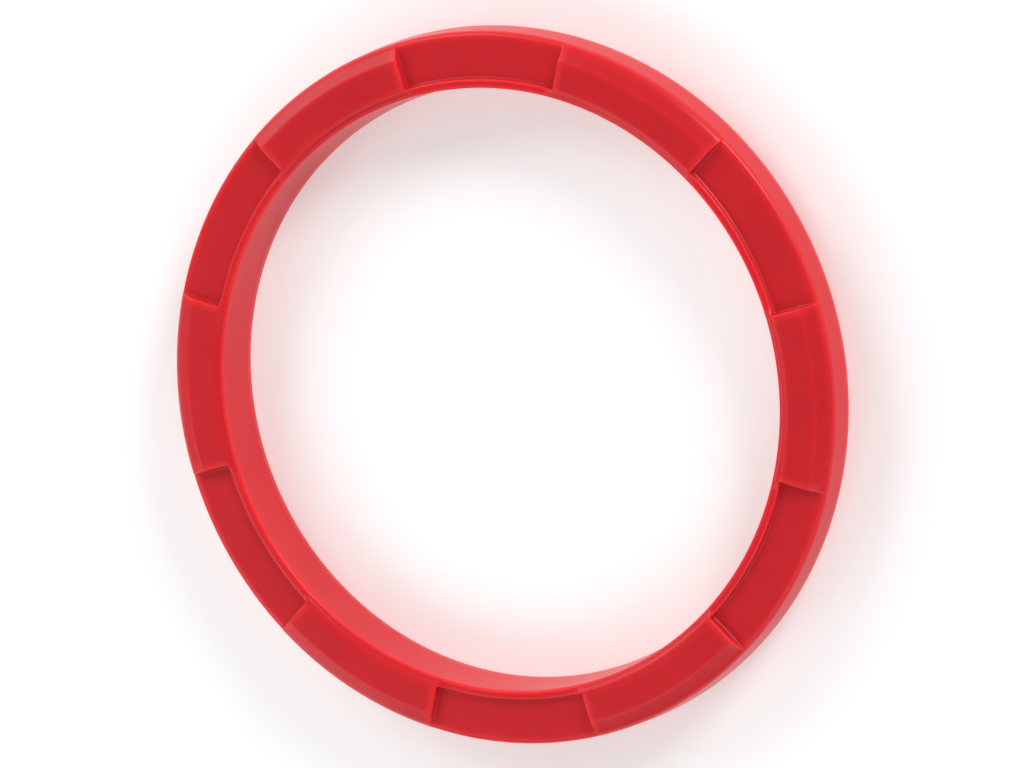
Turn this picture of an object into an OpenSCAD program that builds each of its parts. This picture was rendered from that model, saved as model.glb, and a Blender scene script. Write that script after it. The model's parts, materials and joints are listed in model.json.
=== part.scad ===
// Hub centring ring, one moulding. It lies on the end of its spigot, with its
// front face up and the centre of its footprint at the origin. The flange has a
// bevelled rim and six pockets open to the rim, and the bore runs right through.
// A narrow lip is left between the bore and each pocket, lower than the lands,
// and the lands slope down to the same level at the edge of the bore.
// A land is centred on +X and on -X, and a pocket on +Y and on -Y.

/* [Bore] */
// Diameter of the bore
bore_d = 63.4; // [62:0.1:64]
// Rounding where the bore meets the front lip
bore_round = 0.3; // [0.1:0.05:0.4]
// Lead-in chamfer at the back of the bore
bore_lead = 0.3; // [0.1:0.05:0.6]

/* [Spigot] */
// Outer diameter of the spigot behind the flange
spigot_d = 73.1; // [71:0.1:74.4]
// How far the spigot stands out behind the flange
spigot_h = 2.65; // [1.5:0.05:4]
// Lead-in chamfer on the end of the spigot
spigot_lead = 0.5; // [0.2:0.05:0.8]

/* [Flange] */
// Largest diameter of the flange, at its back edge
flange_d = 75.8; // [75:0.1:78]
// Thickness of the flange, from its back face to its lands
flange_t = 4.6; // [3.5:0.1:6]
// How much the rim tapers in towards the front, on the radius
rim_taper = 0.2; // [0.05:0.05:0.3]
// Height of the bevel from the rim up to the lands
bevel_h = 1.0; // [0.8:0.05:1.3]
// Width of the bevel, measured along the radius
bevel_w = 1.8; // [1.2:0.05:2.4]

/* [Lip] */
// Width of the lip between the bore and the pockets
lip_w = 1.0; // [0.8:0.05:1.5]
// How far the lip lies below the lands
lip_drop = 0.45; // [0.3:0.05:0.6]
// How far the foot of the lands' slope lies above the lip
lip_step = 0.05; // [0.05:0.01:0.12]
// Level band between the bore and the foot of the lands' slope
slope_shelf = 0.4; // [0.4:0.05:0.6]
// Width of the slope up to the lands
slope_w = 0.55; // [0.45:0.1:1.15]

/* [Pockets] */
// Number of pockets around the flange
pocket_count = 6; // [3:1:8]
// Angle that one pocket takes up
pocket_angle = 30.4; // [15:0.2:36]
// Depth of a pocket below the lands
pocket_depth = 0.95; // [0.8:0.05:1.6]
// Small bevel where a pocket floor meets the rim
floor_break = 0.25; // [0.1:0.05:0.4]

/* [Hidden] */
$fn = 180;

over = 1;
pocket_pitch = 360 / pocket_count;
// The revolved faces close on themselves here, inside a land but clear of its middle
seam_angle = 4;
bore_r = bore_d / 2;
spigot_r = spigot_d / 2;
flange_r = flange_d / 2;
ring_h = spigot_h + flange_t;
rim_r = flange_r - rim_taper;
bevel_top_r = rim_r - bevel_w;
bevel_foot_z = ring_h - bevel_h;
lip_r = bore_r + lip_w;
lip_z = ring_h - lip_drop;
slope_foot_r = bore_r + slope_shelf;
slope_foot_z = lip_z + lip_step;
floor_z = ring_h - pocket_depth;

// Quarter-round cutter that turns the inner front corner of the bore into an arc
module bore_edge_cut()
    difference() {
        translate([bore_r - over, slope_foot_z - bore_round])
            square([over + bore_round, bore_round + over]);
        translate([bore_r + bore_round, slope_foot_z - bore_round])
            circle(bore_round);
    }

// Section of the ring, with the radius along X and the height along Y
module ring_section()
    difference() {
        polygon([
            [bore_r + bore_lead, 0],
            [spigot_r - spigot_lead, 0],
            [spigot_r, spigot_lead],
            [spigot_r, spigot_h],
            [flange_r, spigot_h],
            [rim_r, bevel_foot_z],
            [bevel_top_r, ring_h],
            [slope_foot_r + slope_w, ring_h],
            [slope_foot_r, slope_foot_z],
            [bore_r, slope_foot_z],
            [bore_r, bore_lead]
        ]);
        bore_edge_cut();
    }

// Section of what one pocket removes: all above the lip, and all above the floor
// from the lip's wall out past the rim
module pocket_section()
    polygon([
        [bore_r - over, lip_z],
        [lip_r, lip_z],
        [lip_r, floor_z],
        [rim_r - floor_break, floor_z],
        [flange_r + over, floor_z - floor_break - over],
        [flange_r + over, ring_h + over],
        [bore_r - over, ring_h + over]
    ]);

module centring_ring()
    color("crimson")
    difference() {
        rotate([0, 0, seam_angle])
            rotate_extrude()
                ring_section();
        for (i = [0 : pocket_count - 1])
            rotate([0, 0, (i + 0.5) * pocket_pitch - pocket_angle / 2])
                rotate_extrude(angle = pocket_angle)
                    pocket_section();
    }

centring_ring();
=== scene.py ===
"""A one-piece red centring ring, lying on its spigot with its pocketed front face up.

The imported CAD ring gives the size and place. The visible ring is one closed mesh, made by carrying a section
around the bore axis. Each column of the mesh is one closed loop of points, cut down by its own share where a
pocket passes through it. Lengths in the geometry part are millimetres, and become metres in make_ring().
"""
import json
import math

import bpy
import numpy as np
from mathutils import Matrix, Vector


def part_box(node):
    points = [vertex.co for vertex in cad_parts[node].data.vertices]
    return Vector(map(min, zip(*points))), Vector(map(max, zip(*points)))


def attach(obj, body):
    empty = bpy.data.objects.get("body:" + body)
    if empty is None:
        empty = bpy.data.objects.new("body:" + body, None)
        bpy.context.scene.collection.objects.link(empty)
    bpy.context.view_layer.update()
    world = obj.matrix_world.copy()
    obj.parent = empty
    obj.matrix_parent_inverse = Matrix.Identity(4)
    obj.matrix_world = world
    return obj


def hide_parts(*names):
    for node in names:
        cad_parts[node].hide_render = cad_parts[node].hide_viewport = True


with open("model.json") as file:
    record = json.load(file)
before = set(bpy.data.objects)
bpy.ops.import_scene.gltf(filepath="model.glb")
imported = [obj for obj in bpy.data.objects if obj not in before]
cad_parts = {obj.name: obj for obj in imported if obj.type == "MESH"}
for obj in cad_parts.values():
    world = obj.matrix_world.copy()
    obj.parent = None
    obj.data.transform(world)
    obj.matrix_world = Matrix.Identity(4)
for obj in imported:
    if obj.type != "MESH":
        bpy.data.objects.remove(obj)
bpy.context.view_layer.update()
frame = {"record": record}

NODE = "centring_ring"
MM = 0.001

# ---------------------------------------------------------------- sizes, from the frame
mounts = {m["name"]: m for m in frame["record"]["mounts"]}
low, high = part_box(NODE)
FLANGE_R = high.x / MM
RING_H = high.z / MM
BORE_R = mounts["hub_bore"]["dims"]["r_mm"]
SPIGOT_R = mounts["spigot"]["dims"]["r_mm"]
SPIGOT_H = mounts["flange_back"]["pos_m"][2] / MM

# ---------------------------------------------------------------- sizes of the details, in millimetres
RIM_TAPER = 0.2           # how much the rim narrows towards the front, on the radius
BEVEL_W = 1.8             # bevel of the lands, along the radius
BEVEL_H = 1.0             # and along the axis
BEVEL_SOFT = 0.10         # how soft the bevel's top edge is
RIM_ROUND_LAND = 0.7      # rounding between the bevel and the rim
RIM_ROUND_FLOOR = 0.8     # and between a pocket's floor and the rim
LIP_W = 1.0               # the lip, from the bore to the pockets' inner wall
LIP_DROP = 0.45           # how far the lip lies below the lands
LIP_WALL_DRAFT = 12.0     # degrees off the axis
LIP_RAMP = 1.2            # the lip comes down from the lands over this length beside each end wall
ROLL_W = 1.1              # the lands roll down to the lip's level over this width
ROLL_POWER = 2.6          # 1 is a straight slope, 2 a parabola
POCKETS = 6
POCKET_ANGLE = 29.8       # degrees, between the end walls' top edges
POCKET_DEPTH = 0.98       # below the lands
END_WALL_DRAFT = 5.0      # degrees off the axis
WALL_TOP_ROUND = 0.15
WALL_FOOT_ROUND = 0.28
BORE_DRAFT = 0.14         # how much wider the bore is at its front than at its back, on the radius
BORE_TRUE_AT = 0.3        # share of the way up where it has the mount's radius
BORE_ROUND = 0.3
BORE_LEAD = 0.3
SPIGOT_LEAD = 0.5
EDGE_ROUND = 0.15         # small rounding on the edges at the back
SPIGOT_FILLET = 0.2
CRISP_RADIUS = 0.25       # edges with this radius or less take the full painted edge glow
ROUND_GAP = 0.1           # between the front's last row and the rim's rounding

# the most of a wall's height that its rounds may take up
TOP_ROUND_SHARE = 0.35
FOOT_ROUND_SHARE = 0.5

# ---------------------------------------------------------------- how finely the ring is divided
TOP_ROUND_STEPS = 5
FOOT_ROUND_STEPS = 7
LIP_STEPS = 6
FLOOR_STEPS = 11
BEVEL_STEPS = 3
BEVEL_EDGE_ROWS = (-0.25, -0.12, 0.0, 0.12, 0.25, 0.4)    # millimetres either side of the bevel's top edge
BEVEL_EDGE_REACH = 0.4                                    # where the even rows before them end
RIM_ROUND_STEPS = 9
EDGE_STEPS = 4
BORE_ROUND_STEPS = 6
RAMP_STEPS = 5
POCKET_STEPS = 23
LAND_STEPS = 25

RIM_R = FLANGE_R - RIM_TAPER
BEVEL_TOP_R = RIM_R - BEVEL_W
LIP_R = BORE_R + LIP_W
LIP_Z = RING_H - LIP_DROP
FLOOR_Z = RING_H - POCKET_DEPTH
BORE_BACK_R = BORE_R - BORE_DRAFT * BORE_TRUE_AT
BORE_FRONT_R = BORE_BACK_R + BORE_DRAFT


# ---------------------------------------------------------------- the section
def arc(centre, radius, start, end, steps):
    """Points on an arc, from start to end in degrees, both ends included."""
    turns = np.radians(np.linspace(start, end, steps + 1))
    return [(centre[0] + radius * math.cos(t), centre[1] + radius * math.sin(t)) for t in turns]


def line(a, b, steps):
    """Points strictly between a and b."""
    return [(a[0] + (b[0] - a[0]) * k / steps, a[1] + (b[1] - a[1]) * k / steps) for k in range(1, steps)]


def wall_steps(height, draft):
    """(distance into the pocket, share of the height) down a wall that high: a rounded top, a straight
    drafted wall and a hollow foot. Distance 0 is the wall's top edge before it is rounded."""
    lean = math.radians(draft)
    turn = math.pi / 2 - lean
    foot = height * math.tan(lean)
    top_round = min(WALL_TOP_ROUND, TOP_ROUND_SHARE * height)
    foot_round = min(WALL_FOOT_ROUND, FOOT_ROUND_SHARE * height)
    top_tangent = top_round * math.tan(turn / 2)
    foot_tangent = foot_round * math.tan(turn / 2)
    points = []
    for t in np.linspace(0, turn, TOP_ROUND_STEPS + 1):
        points.append((-top_tangent + top_round * math.sin(t), top_round * (1 - math.cos(t))))
    start = points[-1]
    end = (foot - foot_tangent * math.sin(lean), height - foot_tangent * math.cos(lean))
    points += line(start, end, 3)
    for t in np.linspace(turn, 0, FOOT_ROUND_STEPS + 1):
        distance = foot + foot_tangent - foot_round * math.sin(t)
        points.append((distance, height - foot_round * (1 - math.cos(t))))
    return [(d, depth / height) for d, depth in points]


def soft_ramp(x, softness):
    """0 below x = 0 and x above it, with the corner rounded off over about softness."""
    return softness * np.logaddexp(0, x / softness)


def land_height(r):
    """Height of the lands at radius r: rolled down towards the bore, level, then down the bevel."""
    roll = min(max((BORE_FRONT_R + BORE_ROUND + ROLL_W - r) / ROLL_W, 0), 1)
    bevel = BEVEL_H / BEVEL_W * soft_ramp(r - BEVEL_TOP_R, BEVEL_SOFT)
    return RING_H - LIP_DROP * roll ** ROLL_POWER - bevel


def front_rows():
    """(radius, share of the pocket's fall reached there) across the front, from the bore out to the rim."""
    start = BORE_FRONT_R + BORE_ROUND
    wall = [(LIP_R + d, share) for d, share in wall_steps(POCKET_DEPTH - LIP_DROP, LIP_WALL_DRAFT)]
    rows = [(r, 0.0) for r in np.linspace(start, wall[0][0], LIP_STEPS + 1)[:-1]] + wall
    floor_end = BEVEL_TOP_R - BEVEL_EDGE_REACH
    rows += [(r, 1.0) for r in np.linspace(wall[-1][0], floor_end, FLOOR_STEPS + 1)[1:]]
    rows += [(BEVEL_TOP_R + d, 1.0) for d in BEVEL_EDGE_ROWS]
    last = RIM_R - RIM_ROUND_FLOOR - ROUND_GAP
    rows += [(r, 1.0) for r in np.linspace(rows[-1][0], last, BEVEL_STEPS + 1)[1:]]
    return rows


FRONT_ROWS = front_rows()


def top_height(r, ramp):
    """Height of the uncut front: the lands', brought down to the lip beside a pocket as ramp nears 1."""
    land = land_height(r)
    near_lip = min(max(1 - (r - LIP_R) / WALL_FOOT_ROUND, 0), 1)
    return land + ramp * near_lip * min(LIP_Z - land, 0)


def front_height(r, fall, share, ramp):
    """Height of the front, in a column cut by a share of the way down to the pocket's floor."""
    top = top_height(r, ramp)
    return top + fall * share * (FLOOR_Z - top)


def rim_points(share):
    """Round the outer edge from the front face down on to the rim, for one column."""
    r0, fall = FRONT_ROWS[-1]
    reach = RIM_ROUND_LAND + (RIM_ROUND_FLOOR - RIM_ROUND_LAND) * share
    slope = -(1 - share) * BEVEL_H / BEVEL_W
    z0 = front_height(r0, fall, share, 0)
    corner = z0 + slope * (RIM_R - r0)
    start_r = RIM_R - reach
    start = (start_r, z0 + slope * (start_r - r0))
    end = (RIM_R, corner - reach)
    points = []
    for t in np.linspace(0, 1, RIM_ROUND_STEPS + 1):
        a, b, c = (1 - t) ** 2, 2 * t * (1 - t), t * t
        points.append((a * start[0] + b * RIM_R + c * end[0], a * start[1] + b * corner + c * end[1]))
    return points


def column(share, ramp):
    """The closed loop of (radius, height) for one column, with the pocket's cut at that share."""
    front = [(r, front_height(r, fall, share, ramp)) for r, fall in FRONT_ROWS]
    rim = rim_points(share)
    flange_edge = (FLANGE_R, SPIGOT_H + EDGE_ROUND)
    back_edge = arc((FLANGE_R - EDGE_ROUND, SPIGOT_H + EDGE_ROUND), EDGE_ROUND, 0, -90, EDGE_STEPS)
    root = arc((SPIGOT_R + SPIGOT_FILLET, SPIGOT_H - SPIGOT_FILLET), SPIGOT_FILLET, 90, 180, EDGE_STEPS)
    lead = [(SPIGOT_R, SPIGOT_LEAD), (SPIGOT_R - SPIGOT_LEAD, 0)]
    bore_lead = [(BORE_BACK_R + BORE_LEAD, 0), (BORE_BACK_R, BORE_LEAD)]
    bore_top = arc((BORE_FRONT_R + BORE_ROUND, LIP_Z - BORE_ROUND), BORE_ROUND, 180, 90, BORE_ROUND_STEPS)
    loop = front + rim + line(rim[-1], flange_edge, 5) + back_edge
    loop += line(back_edge[-1], root[0], 3) + root
    loop += line(root[-1], lead[0], 4) + lead + line(lead[1], bore_lead[0], 6)
    loop += bore_lead + line(bore_lead[1], bore_top[0], 8) + bore_top[:-1]
    return loop


def ease(t):
    """0 to 1 with level ends, as t goes from 0 to 1."""
    t = min(max(t, 0), 1)
    return t * t * (3 - 2 * t)


def column_angles():
    """(angle in degrees, share of the pocket's cut, share of the lip's ramp) for every column around."""
    pitch = 360 / POCKETS
    per_mm = math.degrees(1 / ((LIP_R + RIM_R) / 2))
    steps = wall_steps(POCKET_DEPTH, END_WALL_DRAFT)
    steps += [(d, 1.0) for d in np.linspace(steps[-1][0], LIP_RAMP, RAMP_STEPS + 1)[1:]]
    side = [(d * per_mm, share, ease(d / LIP_RAMP)) for d, share in steps]
    half = POCKET_ANGLE / 2
    inner = half - side[-1][0]
    columns = []
    for k in range(POCKETS):
        middle = (k + 0.5) * pitch
        columns += [(middle - half + a, share, ramp) for a, share, ramp in side]
        columns += [(middle + a, 1.0, 1.0) for a in np.linspace(-inner, inner, POCKET_STEPS + 1)[1:-1]]
        columns += [(middle + half - a, share, ramp) for a, share, ramp in reversed(side)]
        start, end = columns[-1][0], middle + pitch - half + side[0][0]
        columns += [(a, 0.0, 0.0) for a in np.linspace(start, end, LAND_STEPS + 1)[1:-1]]
    return columns


def mark_edges(mesh):
    """Store how sharply the surface bends outwards at each vertex: 0 where flat, 1 on the crisp edges."""
    count = len(mesh.vertices)
    points, normals = np.empty(count * 3), np.empty(count * 3)
    mesh.vertices.foreach_get("co", points)
    mesh.vertex_normals.foreach_get("vector", normals)
    points, normals = points.reshape(-1, 3), normals.reshape(-1, 3)
    ends = np.empty(len(mesh.edges) * 2, dtype=np.int32)
    mesh.edges.foreach_get("vertices", ends)
    first, second = ends.reshape(-1, 2).T
    step = points[second] - points[first]
    bend = ((normals[second] - normals[first]) * step).sum(axis=1) / (step ** 2).sum(axis=1)
    sharpest = np.zeros(count)
    np.maximum.at(sharpest, first, bend)
    np.maximum.at(sharpest, second, bend)
    # this share is the mask of the painted edge glow in the ring's material
    shares = np.clip(sharpest * CRISP_RADIUS * MM, 0, 1)
    mesh.attributes.new("edge_share", "FLOAT", "POINT").data.foreach_set("value", shares)


def make_ring():
    """The whole ring as one closed mesh of quads."""
    columns = column_angles()
    loops = [column(share, ramp) for _, share, ramp in columns]
    count = len(loops[0])
    verts = []
    for (angle, _, _), loop in zip(columns, loops):
        c, s = math.cos(math.radians(angle)), math.sin(math.radians(angle))
        verts += [(r * c * MM, r * s * MM, z * MM) for r, z in loop]
    faces = []
    for i in range(len(columns)):
        j = (i + 1) % len(columns)
        for k in range(count):
            m = (k + 1) % count
            faces.append((i * count + k, i * count + m, j * count + m, j * count + k))
    mesh = bpy.data.meshes.new("ring_shell")
    mesh.from_pydata(verts, [], faces)
    mesh.polygons.foreach_set("use_smooth", [True] * len(mesh.polygons))
    mesh.validate()
    mesh.update()
    mark_edges(mesh)
    ring = bpy.data.objects.new("ring_shell", mesh)
    bpy.context.scene.collection.objects.link(ring)
    return ring


# ---------------------------------------------------------------- materials
DEEP_RED = (0.64, 0.016, 0.025, 1)
BRIGHT_RED = (0.69, 0.019, 0.029, 1)
# painted edge glow: a lighter red for the convex edges, standing in for the light that scatters through them
# and for their highlights
EDGE_GLOW_RED = (0.88, 0.040, 0.050, 1)
MOST_EDGE_GLOW = 0.6            # how much of the painted edge glow's lighter red the sharpest edges take
NOISE_SPAN = (0.2, 0.8)       # the part of a noise texture's output that is used
ROUGHNESS = (0.28, 0.32)
PLASTIC_IOR = 1.33
SCATTER_REACH = 0.0016        # metres that red light travels below the surface
SCATTER_COLOUR = (1.0, 0.10, 0.08)

# noise scales, in features per metre, and the depths of the relief, in metres
CLOUD_SCALE, CLOUD_DETAIL = 160, 3
SHEEN_SCALE, SHEEN_DETAIL = 350, 2
WAVE_SCALE, WAVE_DETAIL, WAVE_DEPTH = 260, 1, 0.00001
GRAIN_SCALE, GRAIN_DETAIL, GRAIN_DEPTH = 4000, 1, 0.000001

PURE_WHITE = (1, 1, 1, 1)
FLOOR_WHITE = (0.9, 0.9, 0.9, 1)
FLOOR_ROUGHNESS = 0.9
FLOOR_GLOW = 0.25


def noise(nodes, links, point, scale, detail):
    """A noise texture read at a point in metres; its features are about 1 / scale metres across."""
    node = nodes.new("ShaderNodeTexNoise")
    node.inputs["Scale"].default_value = scale
    node.inputs["Detail"].default_value = detail
    links.new(point, node.inputs["Vector"])
    return node.outputs["Fac"]


def remap(nodes, links, value, span, to_span):
    """Stretch the part of a value that lies within one span over another span."""
    node = nodes.new("ShaderNodeMapRange")
    node.inputs["From Min"].default_value = span[0]
    node.inputs["From Max"].default_value = span[1]
    node.inputs["To Min"].default_value = to_span[0]
    node.inputs["To Max"].default_value = to_span[1]
    links.new(value, node.inputs["Value"])
    return node.outputs["Result"]


def mix_colour(nodes, links, share, first, second):
    """Blend two colours, each a tuple or another node's output."""
    node = nodes.new("ShaderNodeMix")
    node.data_type = "RGBA"
    links.new(share, node.inputs[0])
    for socket, colour in ((node.inputs[6], first), (node.inputs[7], second)):
        if isinstance(colour, tuple):
            socket.default_value = colour
        else:
            links.new(colour, socket)
    return node.outputs[2]


def bump(nodes, links, height, depth, below=None):
    """Relief of a given depth in metres, on top of another relief."""
    node = nodes.new("ShaderNodeBump")
    node.inputs["Strength"].default_value = 1
    node.inputs["Distance"].default_value = depth
    links.new(height, node.inputs["Height"])
    if below is not None:
        links.new(below, node.inputs["Normal"])
    return node.outputs["Normal"]


def red_plastic():
    """Satin moulded plastic: cloudy flow in the colour, a fine spark-eroded grain, and a painted edge glow of
    lighter red on the convex edges.
    """
    mat = bpy.data.materials.new("red_plastic")
    mat.use_nodes = True
    nodes, links = mat.node_tree.nodes, mat.node_tree.links
    shader = nodes["Principled BSDF"]
    point = nodes.new("ShaderNodeTexCoord").outputs["Object"]

    clouds = noise(nodes, links, point, CLOUD_SCALE, CLOUD_DETAIL)
    sheen = noise(nodes, links, point, SHEEN_SCALE, SHEEN_DETAIL)
    grain = noise(nodes, links, point, GRAIN_SCALE, GRAIN_DETAIL)
    waves = noise(nodes, links, point, WAVE_SCALE, WAVE_DETAIL)

    edge = nodes.new("ShaderNodeAttribute")
    edge.attribute_name = "edge_share"

    colour = mix_colour(nodes, links, remap(nodes, links, clouds, NOISE_SPAN, (0, 1)), DEEP_RED, BRIGHT_RED)
    # painted edge glow: the more sharply an edge bends outwards, the more it is mixed towards the lighter red
    painted_edge_glow = remap(nodes, links, edge.outputs["Fac"], (0, 1), (0, MOST_EDGE_GLOW))
    links.new(mix_colour(nodes, links, painted_edge_glow, colour, EDGE_GLOW_RED), shader.inputs["Base Color"])
    links.new(remap(nodes, links, sheen, NOISE_SPAN, ROUGHNESS), shader.inputs["Roughness"])
    shader.inputs["IOR"].default_value = PLASTIC_IOR
    shader.inputs["Subsurface Weight"].default_value = 1.0
    shader.inputs["Subsurface Radius"].default_value = SCATTER_COLOUR
    shader.inputs["Subsurface Scale"].default_value = SCATTER_REACH

    relief = bump(nodes, links, waves, WAVE_DEPTH)
    relief = bump(nodes, links, grain, GRAIN_DEPTH, relief)
    links.new(relief, shader.inputs["Normal"])
    return mat


def floor_material():
    """Matt white with a little light of its own, so that it stays white beside the ring."""
    mat = bpy.data.materials.new("floor_white")
    mat.use_nodes = True
    shader = mat.node_tree.nodes["Principled BSDF"]
    shader.inputs["Base Color"].default_value = FLOOR_WHITE
    shader.inputs["Roughness"].default_value = FLOOR_ROUGHNESS
    shader.inputs["Emission Color"].default_value = PURE_WHITE
    shader.inputs["Emission Strength"].default_value = FLOOR_GLOW
    return mat


# ---------------------------------------------------------------- stage
FLOOR_REACH = 4.0         # metres from the middle of the floor to its sides
WORLD_LIGHT = 0.28
SENSOR_WIDTH = 36         # millimetres, as the lens is

# name, azimuth and elevation in degrees, diameter in metres, power in watts
SOFTBOXES = (
    ("front", 0, 12, 0.55, 1.6),
    ("front_right", 20, 25, 0.30, 4.0),
    ("right", 95, 35, 0.45, 2.2),
    ("back_right", 122, 22, 0.45, 1.6),
    ("back_low", 190, 10, 0.5, 0.7),
    ("back", 180, 38, 0.55, 1.6),
    ("back_left", 225, 38, 0.55, 1.0),
    ("left", 270, 38, 0.55, 1.6),
)


def make_floor():
    """A square floor under the ring, at the height of the end of its spigot."""
    r = FLOOR_REACH
    corners = [(-r, -r, 0), (r, -r, 0), (r, r, 0), (-r, r, 0)]
    mesh = bpy.data.meshes.new("floor")
    mesh.from_pydata(corners, [], [(0, 1, 2, 3)])
    floor = bpy.data.objects.new("floor", mesh)
    bpy.context.scene.collection.objects.link(floor)
    floor.data.materials.append(floor_material())


def direction(azimuth, elevation):
    """Unit vector from the ring towards a place around it. Azimuth 0 is the -Y side, 90 the +X side."""
    a, e = math.radians(azimuth), math.radians(elevation)
    return Vector((math.sin(a) * math.cos(e), -math.cos(a) * math.cos(e), math.sin(e)))


def make_camera(azimuth, elevation, roll, distance, aim, lens):
    """A camera that looks at aim, from that distance and direction, turned by roll about its own axis."""
    data = bpy.data.cameras.new("camera")
    data.lens = lens
    data.sensor_width = SENSOR_WIDTH
    camera = bpy.data.objects.new("camera", data)
    bpy.context.scene.collection.objects.link(camera)
    back = direction(azimuth, elevation)
    look = (-back).to_track_quat("-Z", "Y").to_matrix().to_4x4()
    turn = Matrix.Rotation(math.radians(roll), 4, "Z")
    camera.matrix_world = Matrix.Translation(aim + back * distance) @ look @ turn
    bpy.context.scene.camera = camera


def softbox(name, azimuth, elevation, size, power):
    """A round soft lamp one metre from the ring, aimed at it."""
    data = bpy.data.lights.new(name, "AREA")
    data.shape = "DISK"
    data.size = size
    data.energy = power
    away = direction(azimuth, elevation)
    lamp = bpy.data.objects.new(name, data)
    lamp.matrix_world = Matrix.Translation(away) @ away.to_track_quat("Z", "Y").to_matrix().to_4x4()
    bpy.context.scene.collection.objects.link(lamp)


def make_lights():
    """An even white surrounding and the soft lamps around the ring."""
    world = bpy.data.worlds.new("studio")
    bpy.context.scene.world = world
    world.use_nodes = True
    background = world.node_tree.nodes["Background"]
    background.inputs["Color"].default_value = PURE_WHITE
    background.inputs["Strength"].default_value = WORLD_LIGHT
    for name, azimuth, elevation, size, power in SOFTBOXES:
        softbox(name, azimuth, elevation, size, power)


ring = make_ring()
ring.data.materials.append(red_plastic())
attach(ring, "root")
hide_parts(NODE)

make_floor()
make_lights()
make_camera(azimuth=-8.84, elevation=63.68, roll=-112.06, distance=0.6269,
            aim=Vector((0, -0.0006, 0.0035)), lens=210.94)
bpy.context.scene.view_settings.view_transform = "Standard"
